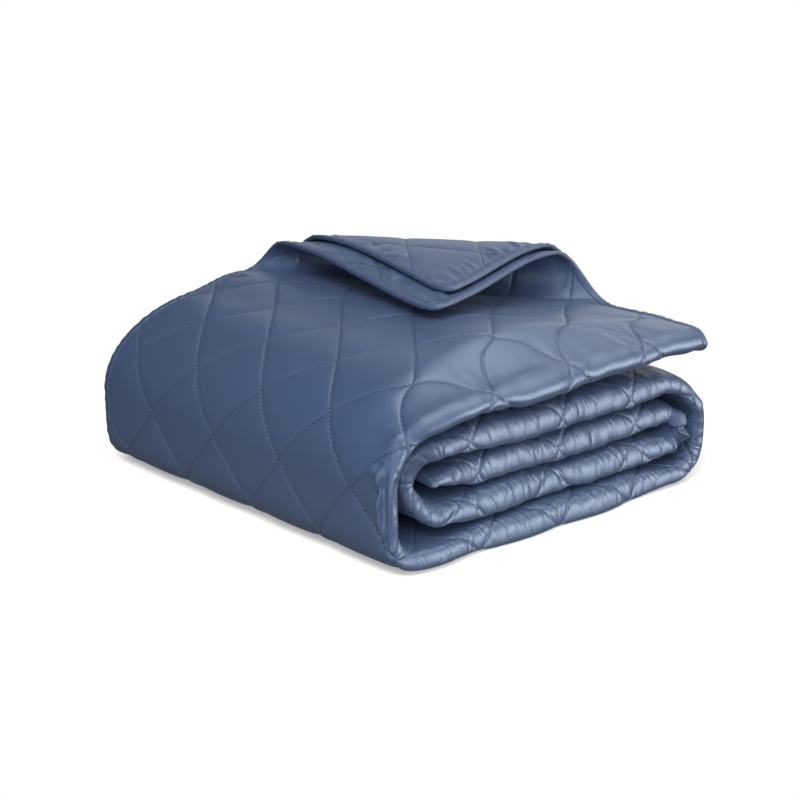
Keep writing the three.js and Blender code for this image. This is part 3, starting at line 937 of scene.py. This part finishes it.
for k in range(len(stops)):
    here, there = k * count, (k + 1) % len(stops) * count
    for i in range(count):
        j = (i + 1) % count
        bar_faces.append((here + i, there + i, there + j, here + j))
binding = make_piece("bound_edge", bar_points, bar_faces)
add_map(binding, "cloth", bar_u.ravel() / METRE, bar_w.ravel() / METRE)
print("bound edge:", len(binding.data.polygons), "faces")

# %% [markdown]
# The thread is a row of short stitches on every line that shows. It could be painted on, but it
# stands up from the cloth. One stitch is modelled as a small rounded bead, and its copies are
# laid along the lines, each turned to the cloth under it.

# %% One stitch
STITCH = 3.6
STITCH_GAP = 1.9
THREAD = 0.55
bpy.ops.mesh.primitive_cylinder_add(vertices=5, radius=THREAD, depth=STITCH)
bead = bpy.context.object
bpy.ops.object.mode_set(mode="EDIT")
bpy.ops.mesh.select_all(action="SELECT")
bpy.ops.mesh.bevel(offset=THREAD * 0.5, segments=1)
bpy.ops.object.mode_set(mode="OBJECT")
bead_points = np.array([v.co for v in bead.data.vertices])
bead_faces = [list(p.vertices) for p in bead.data.polygons]
bpy.data.objects.remove(bead)
print("a stitch has", len(bead_faces), "faces")

# %% Lines of stitches that show
STRIDE = (STITCH + STITCH_GAP) / math.sqrt(2)
FIRST_STITCH, STITCH_MARGIN = BINDING + 4, 5
LINE_NUMBERS = range(-45, 45)
NEAR_SHOWN, SEWN_UNDER_FLAP = 50, 60


def shown_lines():
    spots = []
    u = np.arange(FIRST_STITCH, LENGTH - FIRST_STITCH, STRIDE)
    x0, _, _, _, _, _, kind = along(u)
    pieces = np.searchsorted(STARTS, u, side="right") - 1
    over = np.array([PATH[i]["layer"]["name"] == "over" for i in pieces])
    for slant in (1, -1):
        for number in LINE_NUMBERS:
            w = COLUMN_ZERO + DIAMOND_W * (slip_across(u) + slant * (number - rows_along(u)))
            inside = (w > LOW + STITCH_MARGIN) & (w < HIGH - STITCH_MARGIN)
            past = past_fold(*draw_out(x0, w - HALF_QUARTER - FOLD_HALF + NEAR))[0]
            top = (kind == TOP) & (past < SEWN_UNDER_FLAP)
            outer = (w > 0) & ((kind == LAST) | top | ((kind == TURN) & over))
            keep = inside & ((np.abs(w) < NEAR_SHOWN) | outer)
            spots += [(a, b, slant) for a, b in zip(u[keep], w[keep])]
            w = w - LEAF_SHIFT * DIAMOND_W
            past = past_fold(*draw_out(x0, NEAR + FOURTH_START - w - HALF_QUARTER))[0]
            flap = (w > LOW + STITCH_MARGIN) & (w < FOURTH_START) & (kind == TOP) & (past > 0)
            spots += [(a, b, slant) for a, b in zip(u[flap], w[flap])]
    return np.array(spots)


spots = shown_lines()
print(len(spots), "stitches")

# %% The thread
STAND_UP, THREAD_LIFT = 2, 0.15
step = STITCH / 2 / math.sqrt(2)
stitch_u, stitch_w, slants = spots.T
face = np.full(len(spots), FACE)


def on_cloth(u, w, above):
    return place(u, w, half_thickness(u, w, face) + above)


lows = on_cloth(stitch_u - step, stitch_w + step * slants, 0)
highs = on_cloth(stitch_u + step, stitch_w - step * slants, 0)
axis = highs - lows
axis /= np.linalg.norm(axis, axis=1, keepdims=True)
up = on_cloth(stitch_u, stitch_w, STAND_UP) - on_cloth(stitch_u, stitch_w, 0)
side = np.cross(axis, up)
side /= np.linalg.norm(side, axis=1, keepdims=True)
up = np.cross(side, axis)
middles = (lows + highs) / 2 + up * THREAD_LIFT
thread_points = (middles[:, None, :] + bead_points[None, :, 0, None] * side[:, None, :]
                 + bead_points[None, :, 1, None] * up[:, None, :]
                 + bead_points[None, :, 2, None] * axis[:, None, :]).reshape(-1, 3)
thread_faces = [[i + k * len(bead_points) for i in f] for k in range(len(spots)) for f in bead_faces]
thread = make_piece("stitches", thread_points, thread_faces)
print("thread:", len(thread_faces), "faces")

# %% [markdown]
# Satin is woven so that long threads float on its face. To the eye it is a dark blue under a
# strong, fairly soft reflection. A metal would gleam too, but would lose the blue in the shade.
# One function makes the finish, and each kind of satin gives it a colour and a roughness.

# %% Satin
def add_node(paint, kind, **values):
    node = paint.node_tree.nodes.new(kind)
    for key, value in values.items():
        if key in node.inputs:
            node.inputs[key].default_value = value
        else:
            setattr(node, key, value)
    return node


def link(paint, source, target):
    paint.node_tree.links.new(source, target)


def satin(name, colour, roughness):
    paint = bpy.data.materials.new(name)
    paint.use_nodes = True
    shader = paint.node_tree.nodes["Principled BSDF"]
    shader.inputs["Base Color"].default_value = (*colour, 1)
    shader.inputs["Roughness"].default_value = roughness
    shader.inputs["IOR"].default_value = 1.9
    shader.inputs["Specular IOR Level"].default_value = 1.0
    shader.inputs["Specular Tint"].default_value = (0.72, 0.84, 1.0, 1)
    shader.inputs["Sheen Weight"].default_value = 0.05
    shader.inputs["Sheen Roughness"].default_value = 0.35
    shader.inputs["Sheen Tint"].default_value = (0.6, 0.75, 1.0, 1)
    return paint, shader


QUILTED_BLUE = (0.03, 0.05, 0.104)
quilted_satin, quilted_shader = satin("quilted satin", QUILTED_BLUE, 0.45)
print("finish:", quilted_satin.name)

# %% [markdown]
# On the near folds the satin is full of fine wrinkles, too small for the mesh. They are noise,
# stretched along the way that the cloth is pulled: folded back on itself it makes sharp ridges.
# A ramp on the distance from the crest keeps them at the fold, and another calms the outer turn.

# %% Helpers for the material
def calculate(paint, operation, *parts):
    node = add_node(paint, "ShaderNodeMath", operation=operation)
    for k, part in enumerate(parts):
        if isinstance(part, (int, float)):
            node.inputs[k].default_value = part
        else:
            link(paint, part, node.inputs[k])
    return node.outputs[0]


def ramp(paint, value, low, high, start, end):
    node = add_node(paint, "ShaderNodeMapRange", interpolation_type="SMOOTHSTEP")
    link(paint, value, node.inputs[0])
    for k, number in enumerate((low, high, start, end)):
        node.inputs[k + 1].default_value = number
    return node.outputs[0]


def stretched_noise(paint, flat, across, down, detail):
    stretch = add_node(paint, "ShaderNodeMapping", Scale=(across, down, 1))
    noise = add_node(paint, "ShaderNodeTexNoise", Scale=1.0, Detail=detail, Distortion=0.5)
    link(paint, flat.outputs[0], stretch.inputs["Vector"])
    link(paint, stretch.outputs["Vector"], noise.inputs["Vector"])
    return noise.outputs["Fac"]


def ridges(paint, noise):
    return calculate(paint, "ABSOLUTE", calculate(paint, "SUBTRACT", noise, 0.5))


def add_bump(paint, shader, height, distance):
    bump = add_node(paint, "ShaderNodeBump", Strength=1.0, Distance=distance)
    link(paint, height, bump.inputs["Height"])
    link(paint, bump.outputs["Normal"], shader.inputs["Normal"])


cloth = add_node(quilted_satin, "ShaderNodeUVMap", uv_map="cloth")
parts = add_node(quilted_satin, "ShaderNodeSeparateXYZ")
link(quilted_satin, cloth.outputs["UV"], parts.inputs["Vector"])
print("flat map:", cloth.uv_map)

# %% Wrinkles and streaks at the folds
FOLD_BAND, SLOPE_BAND, CREST_SHARE = (0.026, 0.055), (0.003, 0.016), 0.3
CRUMPLE, FINE, STREAK = (44, 11, 0.6), (900, 120, 2), (120, 20, 1)
FINE_SHARE, STREAK_SHARE, STREAK_LEAN = 0.02, 0.5, 0.5
WRAP_FROM, WRAP_EASE, WRAP_CALM = (LAST_TURN["start"] + 20) / METRE, 0.1, 0.15
from_fold = calculate(quilted_satin, "ABSOLUTE", parts.outputs["Y"])
at_fold = ramp(quilted_satin, from_fold, *FOLD_BAND, 1, 0)
calm = ramp(quilted_satin, parts.outputs["X"], WRAP_FROM, WRAP_FROM + WRAP_EASE, 1, WRAP_CALM)
wrinkled = calculate(quilted_satin, "MULTIPLY", at_fold, calm)
crumple = ridges(quilted_satin, stretched_noise(quilted_satin, cloth, *CRUMPLE))
fine = stretched_noise(quilted_satin, cloth, *FINE)
height = calculate(quilted_satin, "MULTIPLY", wrinkled, crumple)
height = calculate(quilted_satin, "MULTIPLY_ADD", fine, FINE_SHARE, height)
leaning = add_node(quilted_satin, "ShaderNodeCombineXYZ")
lean = calculate(quilted_satin, "MULTIPLY_ADD", parts.outputs["Y"], STREAK_LEAN, parts.outputs["X"])
link(quilted_satin, lean, leaning.inputs["X"])
link(quilted_satin, parts.outputs["Y"], leaning.inputs["Y"])
streak = ridges(quilted_satin, stretched_noise(quilted_satin, leaning, *STREAK))
on_slope = ramp(quilted_satin, from_fold, *SLOPE_BAND, CREST_SHARE, 1)
on_slope = calculate(quilted_satin, "MULTIPLY", on_slope, wrinkled)
streak = calculate(quilted_satin, "MULTIPLY", streak, on_slope)
height = calculate(quilted_satin, "MULTIPLY_ADD", streak, STREAK_SHARE, height)
print("wrinkles calm down from", round(WRAP_FROM, 2), "m along the quilt")

# %% [markdown]
# Along each line of stitches the cloth is drawn down into a narrow groove. Between one stitch and
# the next the needle hole is tinted a darker blue, as painted shade where the thread sinks into the
# cloth. They are finer than the mesh, so the material works the lattice out again from its own map,
# and the holes keep step with the stitches.

# %% Grooves, and painted shade in the needle holes
# painted shade: a darker blue in each needle hole, for the shade where the thread sinks into the
# cloth
HOLE_SHADE_BLUE = (0.012, 0.02, 0.045)
GROOVE_SHARE, BUMP_DISTANCE = 0.09, 0.007
GROOVE, HOLE_WIDTH, HOLE_BEAT = (0.2, 3.2), (0.7, 1.5), (0.26, 0.4)
lattice = add_node(quilted_satin, "ShaderNodeUVMap", uv_map="lattice")
lines = add_node(quilted_satin, "ShaderNodeSeparateXYZ")
link(quilted_satin, lattice.outputs["UV"], lines.inputs["Vector"])
gaps = []
for sign in ("ADD", "SUBTRACT"):
    count = calculate(quilted_satin, sign, lines.outputs["X"], lines.outputs["Y"])
    gaps.append(calculate(quilted_satin, "PINGPONG", count, 0.5))
nearest = calculate(quilted_satin, "MINIMUM", *gaps)
seam = calculate(quilted_satin, "MULTIPLY", nearest, LINE_SPACING)
groove = ramp(quilted_satin, seam, *GROOVE, 0, 1)
height = calculate(quilted_satin, "MULTIPLY_ADD", groove, GROOVE_SHARE, height)
beat = calculate(quilted_satin, "MULTIPLY_ADD", parts.outputs["X"], METRE / STRIDE,
                 -FIRST_STITCH / STRIDE)
between = ramp(quilted_satin, calculate(quilted_satin, "PINGPONG", beat, 0.5), *HOLE_BEAT, 0, 1)
on_line = ramp(quilted_satin, seam, *HOLE_WIDTH, 1, 0)
hole = calculate(quilted_satin, "MULTIPLY", between, on_line)
tint = add_node(quilted_satin, "ShaderNodeMix", data_type="RGBA")
tint.inputs[6].default_value = (*QUILTED_BLUE, 1)
tint.inputs[7].default_value = (*HOLE_SHADE_BLUE, 1)
link(quilted_satin, hole, tint.inputs[0])
link(quilted_satin, tint.outputs[2], quilted_shader.inputs["Base Color"])
add_bump(quilted_satin, quilted_shader, height, BUMP_DISTANCE)
print("a needle hole every", round(STRIDE * math.sqrt(2), 1), "mm")

# %% [markdown]
# The binding is the same satin cut on its own, a little darker and duller, with only the grain of
# its weave. The thread is paler, so that the stitches show as small light dots on the seams.

# %% The binding's satin and the thread
BINDING_BLUE, THREAD_BLUE = (0.025, 0.042, 0.09), (0.04, 0.063, 0.125)
GRAIN, GRAIN_DEPTH = 400, 0.0006
binding_satin, binding_shader = satin("binding satin", BINDING_BLUE, 0.52)
cloth = add_node(binding_satin, "ShaderNodeUVMap", uv_map="cloth")
grain = stretched_noise(binding_satin, cloth, GRAIN, GRAIN, 2)
add_bump(binding_satin, binding_shader, grain, GRAIN_DEPTH)
thread_paint, _ = satin("thread", THREAD_BLUE, 0.5)
quilt.data.materials.append(quilted_satin)
binding.data.materials.append(binding_satin)
thread.data.materials.append(thread_paint)
print("finishes:", quilted_satin.name, binding_satin.name, thread_paint.name)

# %% [markdown]
# Last, each piece is hung on the body that it rides on, and the solid of the model that it stands
# for is hidden.

# %% What the pieces ride on, and the solids they replace
for piece, node, slot in ((quilt, "panel", "quilted_satin"), (binding, "binding", "binding_satin"),
                          (thread, None, "quilted_satin")):
    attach(piece, "root")
    if node:
        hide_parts(node)
